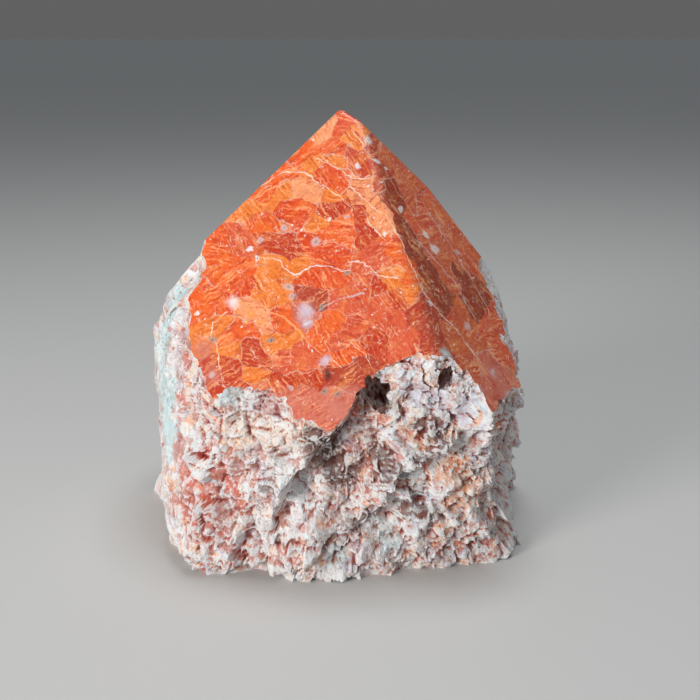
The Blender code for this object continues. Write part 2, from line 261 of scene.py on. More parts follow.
# Grains of the two polished faces that the photograph shows: colour, and pixels of their middles in it
GRAINS = (
    ("ember", (344, 116), (338, 128)),
    ("peach", (331, 126), (322, 138)),
    ("golden", (352, 136), (354, 148)),
    ("orange", (340, 150), (328, 146), (312, 150), (298, 163)),
    ("red", (362, 158), (352, 150), (368, 170)),
    ("golden", (317, 160), (306, 168), (335, 160)),
    ("ember", (332, 178), (342, 184), (326, 170)),
    ("peach", (355, 186), (368, 184), (362, 196)),
    ("orange", (290, 172), (276, 184), (262, 196)),
    ("golden", (258, 206), (244, 214), (270, 208), (284, 190)),
    ("peach", (300, 186), (310, 196)),
    ("ember", (292, 212), (305, 208), (280, 214)),
    ("orange", (262, 218), (274, 222), (250, 224)),
    ("red", (336, 208), (328, 212)),
    ("golden", (333, 199), (322, 222)),
    ("orange", (338, 228), (326, 234), (350, 240), (346, 222)),
    ("red", (362, 216), (366, 232), (360, 240)),
    ("peach", (378, 218), (386, 228), (374, 206)),
    ("ember", (326, 252), (340, 256), (314, 244)),
    ("red", (282, 250), (292, 256), (270, 242)),
    ("salmon", (240, 232), (232, 242), (246, 244)),
    ("golden", (296, 264), (286, 266), (276, 262)),
    ("orange", (222, 244), (212, 256), (228, 262)),
    ("salmon", (374, 252), (384, 262), (366, 262)),
    ("orange", (392, 250), (388, 240)),
    ("golden", (388, 276), (396, 282)),
    ("ember", (322, 278), (338, 282), (308, 284)),
    ("orange", (240, 270), (232, 284), (218, 276)),
    ("golden", (268, 282), (262, 296), (274, 270), (280, 296)),
    ("orange", (206, 290), (214, 300), (196, 302)),
    ("ember", (244, 290), (226, 304)),
    ("maroon", (306, 290), (316, 298)),
    ("salmon", (340, 296), (352, 304), (362, 284)),
    ("salmon", (384, 300), (376, 316), (392, 322), (404, 338)),
    ("red", (398, 296), (380, 286), (372, 340)),
    ("rose", (300, 314), (308, 322)),
    ("peach", (252, 310), (244, 304), (262, 322)),
    ("golden", (222, 326), (216, 334), (232, 348)),
    ("orange", (238, 332), (250, 330), (228, 338)),
    ("orange", (290, 326), (282, 318)),
    ("golden", (284, 342), (272, 344), (292, 334)),
    ("red", (254, 354), (248, 346), (262, 362)),
    ("salmon", (300, 352), (308, 364), (292, 366), (284, 358)),
    ("orange", (334, 322), (326, 334), (316, 330)),
    ("salmon", (352, 330), (362, 322), (342, 340)),
    ("orange", (344, 356), (334, 362), (354, 350)),
    ("golden", (258, 374), (246, 378)),
    ("red", (234, 376), (242, 386), (226, 366)),
    ("maroon", (346, 374), (332, 372), (358, 366)),
    ("red", (312, 380), (294, 378), (278, 384)),
    ("rose", (262, 392), (304, 394), (330, 398)),
    ("orange", (404, 262), (408, 276)),
    ("golden", (410, 292), (400, 272)),
    # From here on the grains lie on the right face. Their own colours are darkened by painted shade and a
    # painted dark reflection
    ("maroon", (374, 148), (382, 172), (378, 186)),
    ("brown", (390, 186), (398, 204), (388, 196)),
    ("rust", (394, 166), (404, 186), (412, 206), (384, 156)),
    ("salmon", (422, 210), (414, 222), (430, 226)),
    ("brown", (404, 228), (414, 252), (410, 240)),
    ("rust", (428, 246), (440, 262), (450, 280)),
    ("brown", (436, 282), (446, 300), (426, 268)),
    ("maroon", (420, 320), (432, 338), (426, 304), (446, 352)),
    ("rust", (440, 222), (452, 240), (464, 258)),
    ("brown", (462, 278), (472, 296), (480, 312)),
    ("rust", (458, 312), (468, 330), (478, 344)),
    ("salmon", (490, 330), (498, 346), (486, 318)),
    ("rose", (486, 362), (498, 378), (506, 392)),
    ("rust", (456, 342), (468, 358), (462, 350)),
)

# Pale veins and cracks on those faces: colour, width in millimetres and pixels along each
VEINS = (
    ("cream", 0.42, (236, 208), (262, 186), (285, 173), (306, 172), (319, 184), (341, 197), (351, 212)),
    ("cream", 0.30, (316, 158), (334, 168), (356, 178), (372, 175)),
    ("peach", 0.55, (246, 204), (268, 190), (302, 180), (318, 200), (329, 220), (352, 226)),
    ("cream", 0.38, (342, 194), (350, 186), (360, 198), (375, 207), (388, 217), (395, 229), (413, 267)),
    ("cream", 0.46, (413, 267), (428, 299), (455, 329), (476, 357), (496, 378)),
    ("cream", 0.26, (384, 240), (372, 226), (366, 212)),
    ("white", 0.34, (274, 258), (284, 268), (296, 274), (318, 264), (350, 269)),
    ("cream", 0.36, (348, 262), (362, 262), (378, 275), (398, 278)),
    ("cream", 0.32, (228, 312), (212, 322), (212, 336), (219, 352), (223, 384)),
    ("peach", 0.50, (247, 295), (271, 311), (290, 322), (308, 341), (321, 354)),
    ("haze", 0.60, (318, 310), (334, 300), (362, 295)),
    ("cream", 0.24, (326, 340), (330, 356), (342, 368)),
    ("cream", 0.24, (352, 342), (364, 354), (372, 366)),
    ("cream", 0.26, (352, 128), (362, 146), (378, 160)),
    ("peach", 0.30, (372, 150), (392, 184), (420, 226), (440, 262)),
    ("haze", 0.50, (404, 226), (428, 252), (452, 280), (476, 318)),
    ("haze", 0.34, (424, 206), (446, 238), (470, 276), (492, 318)),
)

# Spots, among them a painted dark pit and a painted sheen: colours of rim and middle, softness from 0 to 1,
# and (radius in millimetres, pixel) of each
SPOTS = (
    ("white", "white", 0.3, (0.6, (358, 166)), (0.7, (250, 249)), (0.6, (198, 312)), (0.5, (328, 220)),
     (0.4, (301, 230))),
    ("haze", "grey", 0.4, (1.1, (316, 241)), (0.8, (260, 239)), (0.6, (284, 229)), (0.5, (244, 322))),
    ("grey", "soot", 0.4, (0.6, (347, 272)), (0.8, (321, 307))),
    ("white", "soot", 0.5, (0.6, (258, 258)), (0.7, (430, 304))),
    ("haze", "grey", 0.6, (1.1, (288, 286)), (0.9, (293, 297)), (0.8, (290, 388))),
    ("white", "white", 0.9, (1.5, (234, 303))),
    ("lilac", "lilac", 1.0, (1.9, (305, 312)), (1.3, (326, 361))),
    ("lilac", "white", 0.9, (1.2, (307, 324))),
    ("grey", "soot", 0.6, (0.8, (270, 340)), (0.9, (213, 339))),
    ("grey", "soot", 0.7, (1.0, (324, 390)), (0.9, (340, 394))),
    # Painted shade of a small pit at the border of the polish, drawn as a dark spot
    ("soot", "soot", 0.5, (0.9, (328, 376))),
    ("haze", "grey", 0.5, (0.6, (347, 217))),
    ("white", "white", 0.5, (0.6, (384, 232))),
    ("white", "haze", 0.5, (0.8, (377, 160)), (0.8, (402, 210)), (0.9, (426, 235))),
    ("white", "haze", 0.4, (0.5, (385, 168))),
    ("white", "haze", 0.7, (1.2, (435, 249))),
    ("haze", "haze", 0.7, (0.9, (458, 252)), (1.0, (467, 326))),
    ("turquoise", "white", 0.9, (1.6, (446, 354))),
    ("white", "haze", 0.8, (1.2, (368, 140))),
    # Painted sheen: yellow spots for the iridescence of the polish here
    ("golden", "yellow", 1.0, (0.9, (252, 314)), (0.7, (260, 322))),
    ("peach", "yellow", 1.0, (0.6, (247, 322))),
    ("rose", "rose", 1.0, (2.8, (202, 350)), (2.8, (336, 408)), (1.8, (352, 392))),
    ("rose", "haze", 1.0, (2.4, (211, 376)), (2.2, (284, 400)), (3.2, (508, 394)), (2.6, (494, 372)),
     (2.2, (480, 392))),
)

# Patches of colour on the broken sides, a few of them painted shade in recesses: colour, share, radius in
# millimetres and pixels of the middles
PATCHES = (
    ("turquoise", 0.95, 6.0, (176, 280), (172, 305), (186, 262)),
    ("turquoise", 0.90, 5.5, (164, 390), (163, 420), (168, 440), (160, 340), (158, 366)),
    ("turquoise", 0.65, 2.8, (228, 392), (390, 540), (336, 554)),
    ("peach", 0.60, 3.4, (452, 470), (470, 486), (458, 500)),
    ("golden", 0.45, 1.6, (462, 466), (232, 452)),
    ("ember", 0.80, 1.8, (192, 483), (205, 455), (230, 485), (491, 515), (160, 470)),
    ("salmon", 0.70, 2.8, (186, 470), (208, 492), (222, 474), (190, 510), (240, 500)),
    ("rose", 0.75, 3.6, (200, 530), (190, 500), (232, 470), (214, 510), (180, 450)),
    ("ember", 0.55, 1.6, (195, 520), (200, 500), (182, 400), (186, 360)),
    ("rose", 0.75, 2.6, (226, 540), (240, 552), (212, 520)),
    ("golden", 0.45, 1.6, (440, 524), (460, 545), (427, 566)),
    # Painted shade in the recess at the right of the broken front
    ("soot", 0.55, 1.8, (430, 514), (420, 460), (404, 472)),
    # Painted shade, in a rust tint, down the valley below the pit
    ("rust", 0.40, 3.0, (372, 410), (368, 430), (362, 448)),
    ("brown", 0.55, 2.2, (350, 526), (372, 512), (330, 540)),
    ("white", 0.70, 3.6, (292, 490), (280, 470), (300, 506)),
    ("cream", 0.65, 4.4, (270, 440), (300, 430), (246, 430), (320, 452)),
    ("lilac", 0.60, 3.0, (440, 400), (420, 390), (460, 412)),
    ("rose", 0.55, 3.2, (300, 405), (330, 414), (268, 404)),
    ("orange", 0.65, 1.6, (352, 412), (350, 400)),
    ("rust", 0.55, 2.6, (504, 536), (508, 520)),
    ("rose", 0.60, 2.4, (216, 358), (216, 372), (222, 344)),
    # Painted shade in the recess that the ledge to its left overhangs
    ("brown", 0.80, 3.8, (322, 440), (330, 456), (342, 470), (318, 450)),
    ("rose", 0.60, 2.2, (478, 378), (488, 392), (470, 366), (500, 404)),
    # Painted shade in the recesses further right
    ("brown", 0.75, 3.2, (388, 470), (380, 454), (430, 428), (438, 450), (412, 508)),
)

# Colours of the grains scattered on the faces that the photograph doesn't show, each as likely as the next
SCATTERED = ("orange", "ember", "salmon", "golden", "rust", "red", "rose", "orange", "salmon", "peach")
SCATTERED_SIZE = 8 * MM

# Colours of the broken stone, each from a share of its noise on: slow zones, and crystals with edges
ZONES = ((0.30, "turquoise"), (0.42, "white"), (0.50, "cream"), (0.60, "haze"), (0.74, "rose"))
CRYSTALS = (
    (0.00, "white"),
    (0.26, "cream"),
    (0.40, "lilac"),
    (0.50, "haze"),
    (0.61, "rose"),
    (0.71, "peach"),
    (0.80, "white"),
    (0.88, "salmon"),
    (0.95, "rust"),
)

# Patterns of the polish and of the broken stone: their sizes, and (size, reach) of what shakes their edges
CLOUD_SIZE = 4 * MM
LINE_SIZE = 0.42 * MM
LINE_SQUEEZE = 0.07
LINE_DIRECTIONS = (38, -58, 86)
MOTTLE_SIZE = 0.7 * MM
SEAM_WIDTH = (0.01 * MM, 0.24 * MM)
FLECK_SIZE = 2.1 * MM
THREAD_SIZE = 6 * MM
GRAIN_SHAKES = ((4 * MM, 0.9 * MM), (0.9 * MM, 0.35 * MM), (0.3 * MM, 0.10 * MM))
FLECK_SHAKE = (0.8 * MM, 0.35 * MM)
SPOT_SHAKE = (1.0 * MM, 0.5 * MM)
ZONE_SIZE = 11 * MM
CRYSTAL_SIZE = 1.8 * MM
CRUMB_COLOUR_SIZE = 0.6 * MM
CRACK_SIZE = 2.4 * MM
CHIP_SIZE = 0.9 * MM
CHIP_BUMP = 0.35 * MM
GRIT_SIZE = 0.5 * MM
ZONE_SHAKES = ((5 * MM, 1.5 * MM), (1.2 * MM, 0.5 * MM), (0.4 * MM, 0.15 * MM))
CHIP_SHAKE = (1.2 * MM, 0.4 * MM)
PRESENCE = 0.75
BARE = (0, 0, 0, 1)
UNPAINTED = (BARE, 0.0)
REFRACTION = 1.53


def toward(azimuth):
    """Level unit vector towards an azimuth."""
    turn = math.radians(azimuth)
    return Vector((math.sin(turn), -math.cos(turn), 0))


def along(azimuth):
    """Level unit vector that runs to the right across a side seen from outside."""
    turn = math.radians(azimuth)
    return Vector((math.cos(turn), math.sin(turn), 0))


def face_normal(azimuth, slope):
    """Outward normal of a plane that faces an azimuth and lies at a slope from level."""
    tilt = math.radians(slope)
    return toward(azimuth) * math.sin(tilt) + Vector((0, 0, math.cos(tilt)))


def as_mesh(bm, name):
    mesh = bpy.data.meshes.new(name)
    bm.to_mesh(mesh)
    bm.free()
    return mesh


def new_object(name, mesh):
    obj = bpy.data.objects.new(name, mesh)
    bpy.context.scene.collection.objects.link(obj)
    return obj


def polished_planes():
    """(point, outward normal) of each ground face."""
    tip = Vector((POINT_X, 0, HEIGHT + TIP_ROUNDING))
    for _, azimuth, slope, outset in POLISHED_FACES:
        normal = face_normal(azimuth, slope)
        yield tip + normal * outset, normal


def block_planes():
    """(unit normals, distances from the block's centre) of the planes round the rough block."""
    normals = [Vector((0, 0, 1)), Vector((0, 0, -1))]
    distances = [BLOCK_TOP, BLOCK_BOTTOM]
    for _, azimuth, reach, height, lean in BROKEN_SIDES:
        normal = face_normal(azimuth, 90 - lean)
        on_plane = toward(azimuth) * reach + Vector((0, 0, height))
        normals.append(normal)
        distances.append(normal.dot(on_plane - BLOCK_CENTRE))
    return np.array(normals), np.array(distances)


def drawn_to_planes(directions):
    """Reach of rays from the block's centre to its rounded-off planes, and the outward normals there."""
    normals, distances = block_planes()
    facing = np.maximum(directions @ normals.T, 0) / distances
    total = (facing**CORNER_POWER).sum(axis=1) ** (1 / CORNER_POWER)
    outward = ((facing / total[:, None]) ** (CORNER_POWER - 1)) @ normals
    outward /= np.linalg.norm(outward, axis=1)[:, None]
    return 1 / total, outward


def ease(x):
    x = np.clip(x, 0, 1)
    return x * x * (3 - 2 * x)


def side_view(points, outward, azimuth):
    """(across, up, share) of each point seen from an azimuth. Share fades out on sides that face away."""
    across = points @ np.array(along(azimuth))
    share = ease((outward @ np.array(toward(azimuth)) - 0.1) / 0.5)
    return across, points[:, 2], share


def wavering(points, size, shift=Vector()):
    """Noise from -1 to 1 at each point, in swells of about a size."""
    return np.array([noise.noise(Vector(point) / size + shift) for point in points])


def step_lift(points, outward, step):
    """How far a step raises the ground above its crest and lowers it below."""
    azimuth, start, end, drop, reach = step
    across, up, share = side_view(points, outward, azimuth)
    start, end = np.array(start) * MM, np.array(end) * MM
    length = np.linalg.norm(end - start)
    run = (end - start) / length
    fall = np.array((-run[1], run[0]))
    offset = np.stack((across, up), axis=1) - start
    beside = offset @ fall + CREST_WANDER * wavering(points, CREST_WAVE)
    passed = offset @ run
    share = share * ease(passed / (0.2 * length) + 0.6)
    share = share * ease((length - passed) / (0.25 * length) + 0.6)
    crest = np.exp(np.minimum(beside, 0) / (reach * MM * 1.3))
    foot = np.exp(-np.maximum(beside, 0) / (reach * MM))
    edge = ease(beside / STEP_WIDTH + 0.5)
    return drop * MM * share * (0.4 * crest * (1 - edge) - 0.6 * foot * edge)


def mound_lift(points, outward, mound):
    """How far a round mound reaches out at each point."""
    azimuth, middle, half_width, half_height, depth = mound
    across, up, share = side_view(points, outward, azimuth)
    wide = (across - middle[0] * MM) / (half_width * MM)
    high = (up - middle[1] * MM) / (half_height * MM)
    return depth * MM * share * ease(1.25 * (1 - np.hypot(wide, high)) + 0.15)


def roughness(outward):
    """1 on the broken sides and less on the smoother left side."""
    facing = outward @ np.array(toward(SMOOTH_SIDE_AZIMUTH))
    edge = math.cos(math.radians(SMOOTH_SIDE_HALF_WIDTH))
    return 1 - (1 - SMOOTH_SIDE_SHARE) * ease((facing - edge) / (1 - edge) * 2.0)


def grains(rng):
    """Middle, offset, step height and cleavage normal of each grain of feldspar."""
    table = []
    for _ in range(GRAIN_COUNT):
        direction = np.array([rng.gauss(0, 1), rng.gauss(0, 1), rng.gauss(0, 0.8)])
        direction /= np.linalg.norm(direction)
        reach, outward = drawn_to_planes(direction[None])
        middle = np.array(BLOCK_CENTRE) + direction * reach[0] * rng.uniform(0.93, 1.03)
        tilt = math.radians(rng.uniform(*CLEAVAGE_TILT))
        turn = math.radians(CLEAVAGE_AZIMUTH + rng.uniform(-CLEAVAGE_SPREAD, CLEAVAGE_SPREAD))
        right = Vector((0, 0, 1)).cross(Vector(outward[0])).normalized()
        upward = Vector(outward[0]).cross(right)
        sideways = right * math.sin(turn) + upward * math.cos(turn)
        cleavage = Vector(outward[0]) * math.cos(tilt) + sideways * math.sin(tilt)
        table.append((middle, rng.uniform(-1, 1) * GRAIN_OFFSET, rng.uniform(*CLEAVAGE_STEP), cleavage))
    return [np.array(column) for column in zip(*table)]


def cleavage_lift(points, outward, rough):
    """Flat treads square to the cleavage of the nearest grain, with steep risers between them."""
    middles, offsets, steps, cleavages = grains(random.Random(SEED))
    shifts = (Vector((0, 0, 0)), Vector((31, 7, 19)), Vector((11, 43, 5)))
    warp = np.stack([wavering(points, GRAIN_WARP_SIZE, shift) for shift in shifts], axis=1)
    warped = points + warp * GRAIN_WARP
    nearest = np.array([np.argmin(((middles - point) ** 2).sum(axis=1)) for point in warped])
    step = steps[nearest]
    along_cleavage = (points * cleavages[nearest]).sum(axis=1) / step
    fraction = along_cleavage - np.floor(along_cleavage)
    riser = (1 - fraction) / RISER_SHARE * (1 - RISER_SHARE)
    sawtooth = np.where(fraction < 1 - RISER_SHARE, fraction, riser)
    lean = np.maximum((outward * cleavages[nearest]).sum(axis=1), 0.5)
    return (offsets[nearest] + (0.4 - sawtooth) * step / lean) * rough


def evened(values, edges):
    """Each value averaged with those beside it."""
    count = np.bincount(edges.ravel(), minlength=len(values))
    total = np.bincount(edges[:, 0], values[edges[:, 1]], len(values))
    total += np.bincount(edges[:, 1], values[edges[:, 0]], len(values))
    return 0.5 * values + 0.5 * total / np.maximum(count, 1)


def chipped(directions, reach, outward, rough):
    """Flat chips struck off at random: rays that reach past a chip's plane are cut short at it."""
    rng = random.Random(SEED)
    for _ in range(CHIP_COUNT):
        middle = rng.randrange(len(reach))
        radius = rng.uniform(*CHIP_RADIUS)
        depth = rng.uniform(*CHIP_DEPTH) * rough[middle]
        tilt = Euler([math.radians(rng.uniform(-CHIP_TILT, CHIP_TILT)) for _ in range(3)])
        normal = np.array(tilt.to_matrix() @ Vector(outward[middle]))
        points = directions * reach[:, None]
        away = np.linalg.norm(points - points[middle], axis=1) / radius
        facing = directions @ normal
        near = (away < 1.4) & (facing > 0.2)
        over = np.maximum(reach[near] - (points[middle] @ normal - depth) / facing[near], 0)
        reach[near] -= over * (1 - ease((away[near] - 0.7) / 0.7))
    return reach


def kept_for_grinding(directions, unbroken, reach):
    """Keeps the surface clear of the polished faces wherever the unbroken block stood well outside them."""
    for place, normal in polished_planes():
        facing = directions @ np.array(normal)
        ground = normal.dot(place - BLOCK_CENTRE)
        clear = (facing > 0.05) & (unbroken * facing - ground > CLEAR_OF_POLISH)
        reach[clear] = np.maximum(reach[clear], (ground + LEFT_TO_GRIND) / facing[clear])
    return reach


def worn_shoulder(points):
    """1 on the rubbed shoulder and 0 away from it."""
    azimuth = np.degrees(np.arctan2(points[:, 0], -points[:, 1]))
    beside = ease(2 - np.abs(azimuth - WORN_AZIMUTH) / WORN_HALF_WIDTH)
    return beside * ease((points[:, 2] - WORN_HEIGHT) / WORN_FADE)


def shifts_at_random(points, size, rng):
    """How far noise of a size shifts each point along each axis, from -1 to 1."""
    return np.stack([lattice_noise(points, size, rng) for _ in range(3)], axis=1)


def along_rays(lift, outward, directions):
    """A lift square to the surface as a change of reach from the block's centre."""
    return lift / np.maximum((outward * directions).sum(axis=1), 0.4)


def large_shape(directions, edges):
    """Reach of the broken block along each direction, with its ledges, dents, cleavage steps and chips."""
    unbroken, outward = drawn_to_planes(directions)
    points = directions * unbroken[:, None] + np.array(BLOCK_CENTRE)
    rough = roughness(outward) * (1 - WORN_SHARE_OF_RELIEF * worn_shoulder(points))
    lift = SWELL_DEPTH * wavering(points, SWELL_SIZE) + cleavage_lift(points, outward, rough)
    ragged = points + RAGGED * shifts_at_random(points, RAGGED_SIZE, np.random.default_rng(SEED))
    for step in STEPS:
        lift += step_lift(ragged, outward, step)
    for lump in LUMPS:
        lift += mound_lift(ragged, outward, lump)
    for dent in DENTS:
        lift -= mound_lift(ragged, outward, dent)
    reach = unbroken + along_rays(lift, outward, directions)
    reach = chipped(directions, reach, outward, rough)
    for _ in range(EVENING_PASSES):
        reach = evened(reach, edges)
    return kept_for_grinding(directions, unbroken, reach)


def lattice_noise(points, size, rng):
    """Smooth noise from -1 to 1, with swells about two sizes apart."""
    lattice = rng.uniform(-1, 1, (LATTICE, LATTICE, LATTICE))
    corner = np.floor(points / size).astype(int)
    blend = ease(points / size - corner)
    total = np.zeros(len(points))
    for step in itertools.product((0, 1), repeat=3):
        weight = np.prod(np.where(step, blend, 1 - blend), axis=1)
        total += weight * lattice[tuple(((corner + step) % LATTICE).T)]
    return total


def crumb_lift(points, layer, rng):
    """Crumbs of one size: facets that fall away from each crumb's middle, of which the highest shows."""
    size, offset, slope = layer
    jitter = rng.uniform(0.1, 0.9, (LATTICE, LATTICE, LATTICE, 3))
    heights = rng.uniform(-offset, offset, (LATTICE, LATTICE, LATTICE))
    slopes = rng.uniform(-slope, slope, (LATTICE, LATTICE, LATTICE, 3))
    scaled = points / size + CRUMB_WARP * shifts_at_random(points, size, rng)
    turn = np.array(Euler(rng.uniform(0, math.pi, 3)).to_matrix())
    home = np.floor(scaled).astype(int)
    lift = np.full(len(points), -np.inf)
    for step in itertools.product((-1, 0, 1), repeat=3):
        cell = tuple(((home + step) % LATTICE).T)
        away = scaled - home - step - jitter[cell]
        fall = (away * slopes[cell]).sum(axis=1) - CRUMB_FALL * np.abs(away @ turn).max(axis=1)
        lift = np.maximum(lift, heights[cell] + size * fall)
    return lift


def crust_zone(bm):
    """Faces of the block that will still show once it is ground and sawn."""
    planes = [*polished_planes(), (Vector((0, 0, 0)), Vector((0, 0, -1)))]
    shown = []
    for face in bm.faces:
        middle = face.calc_center_median()
        if all(normal.dot(middle - place) < CRUST_MARGIN for place, normal in planes):
            shown.append(face)
    return shown


def block_in_large():
    """A mesh of the broken block without its crumbs, in fine triangles wherever it will still show."""
    bm = bmesh.new()
    bmesh.ops.create_icosphere(bm, subdivisions=BALL_SUBDIVISIONS, radius=1)
    directions = np.array([vert.co.normalized() for vert in bm.verts])
    edges = np.array([[vert.index for vert in edge.verts] for edge in bm.edges])
    for vert, direction, reach in zip(bm.verts, directions, large_shape(directions, edges)):
        vert.co = BLOCK_CENTRE + Vector(direction * reach)
    zone_edges = {edge for face in crust_zone(bm) for edge in face.edges}
    bmesh.ops.subdivide_edges(bm, edges=list(zone_edges), cuts=CRUST_CUTS, use_grid_fill=True)
    bmesh.ops.triangulate(bm, faces=bm.faces)
    return as_mesh(bm, "rough_block")


def rough_block():
    """The broken block with its crumbs, before it is ground and sawn, thinned out by a modifier."""
    mesh = block_in_large()
    points = np.array([vert.co for vert in mesh.vertices])
    rays = points - np.array(BLOCK_CENTRE)
    reach = np.linalg.norm(rays, axis=1)
    directions = rays / reach[:, None]
    unbroken, outward = drawn_to_planes(directions)
    rng = np.random.default_rng(SEED)
    lift = sum(crumb_lift(points, layer, rng) for layer in CRUMBS) * roughness(outward)
    lift *= 1 - WORN_SHARE_OF_CRUMBS * worn_shoulder(points)
    reach += along_rays(lift, outward, directions)
    reach = kept_for_grinding(directions, unbroken, reach)
    mesh.vertices.foreach_set("co", (directions * reach[:, None] + np.array(BLOCK_CENTRE)).ravel())
    mesh.update()
    block = new_object("rough_block", mesh)
    block.modifiers.new("thin out", "DECIMATE").ratio = min(1, CRUST_TRIANGLES / len(mesh.polygons))
    return block


def sliced(bm, place, normal):
    """Cuts off what lies past a plane and closes the cut with one face."""
    everything = bm.verts[:] + bm.edges[:] + bm.faces[:]
    cut = bmesh.ops.bisect_plane(bm, geom=everything, plane_co=place, plane_no=normal, clear_outer=True)
    rim = [part for part in cut["geom_cut"] if isinstance(part, bmesh.types.BMEdge)]
    bmesh.ops.contextual_create(bm, geom=rim)


def ground_point():
    """The solid that bounds the polished faces and the sawn base, with its ridges rounded."""
    wedge = bmesh.new()
    bmesh.ops.create_cube(wedge, size=5 * HEIGHT)
    for place, normal in polished_planes():
        sliced(wedge, place, normal)
    bmesh.ops.remove_doubles(wedge, verts=wedge.verts, dist=SHORTEST_EDGE)
    wedge.normal_update()
    ridges = [edge for edge in wedge.edges if all(face.normal.z > 0.1 for face in edge.link_faces)]
    bmesh.ops.bevel(
        wedge, geom=ridges, offset=RIDGE_ROUNDING, segments=RIDGE_SEGMENTS, profile=0.5, affect="EDGES"
    )
    sliced(wedge, Vector((0, 0, 0)), Vector((0, 0, -1)))
    bmesh.ops.remove_doubles(wedge, verts=wedge.verts, dist=SHORTEST_EDGE)
    hull = bmesh.new()
    for vert in wedge.verts:
        hull.verts.new(vert.co)
    wedge.free()
    bmesh.ops.convex_hull(hull, input=hull.verts)
    bmesh.ops.delete(hull, geom=[vert for vert in hull.verts if not vert.link_faces], context="VERTS")
    bmesh.ops.recalc_face_normals(hull, faces=hull.faces)
    return new_object("ground_point", as_mesh(hull, "ground_point"))


def pit_cutter(name, place, half_sizes, tilt):
    """A lumpy ball that hollows out a pit below the polished lip."""
    bm = bmesh.new()
    bmesh.ops.create_icosphere(bm, subdivisions=PIT_SUBDIVISIONS, radius=1)
    for vert in bm.verts:
        lumps = 0.35 * noise.noise(vert.co * 1.6 + Vector(place))
        vert.co *= 1 + lumps + 0.14 * noise.noise(vert.co * 5) + 0.04 * noise.noise(vert.co * 12)
    mesh = as_mesh(bm, name)
    mesh.transform(Matrix.Diagonal(Vector(half_sizes) * MM).to_4x4())
    obj = new_object(name, mesh)
    obj.location = Vector(place) * MM
    obj.rotation_euler = (0, math.radians(tilt), 0)
    return obj


def add_boolean(obj, operation, other):
    modifier = obj.modifiers.new(f"{operation.lower()} {other.name}", "BOOLEAN")
    modifier.operation = operation
    modifier.material_mode = "TRANSFER"
    modifier.object = other


def cleaned(mesh):
    """Splits every face into triangles and clears the slivers that a cut leaves."""
    bm = bmesh.new()
    bm.from_mesh(mesh)
    bmesh.ops.triangulate(bm, faces=bm.faces)
    bmesh.ops.dissolve_degenerate(bm, dist=SLIVER, edges=bm.edges)
    bmesh.ops.triangulate(bm, faces=bm.faces)
    bmesh.ops.delete(bm, geom=[vert for vert in bm.verts if not vert.link_faces], context="VERTS")
    bm.to_mesh(mesh)
    bm.free()


def add_hollows(mesh):
    """Attributes that say how many millimetres each point lies below the evened ground around it."""
    points = np.array([vert.co for vert in mesh.vertices])
    normals = np.array([normal.vector for normal in mesh.vertex_normals])
    edges = np.array([edge.vertices[:] for edge in mesh.edges])
    even = points.copy()
    for name, passes in HOLLOWS:
        for _ in range(passes):
            even = np.stack([evened(even[:, axis], edges) for axis in range(3)], axis=1)
        attribute = mesh.attributes.new(name, "FLOAT", "POINT")
        attribute.data.foreach_set("value", ((even - points) * normals).sum(axis=1) / MM)


def colour(name):
    """A named colour as Blender's linear red, green, blue and alpha."""
    return (*[((value / 255 + 0.055) / 1.055) ** 2.4 for value in COLOURS[name]], 1)


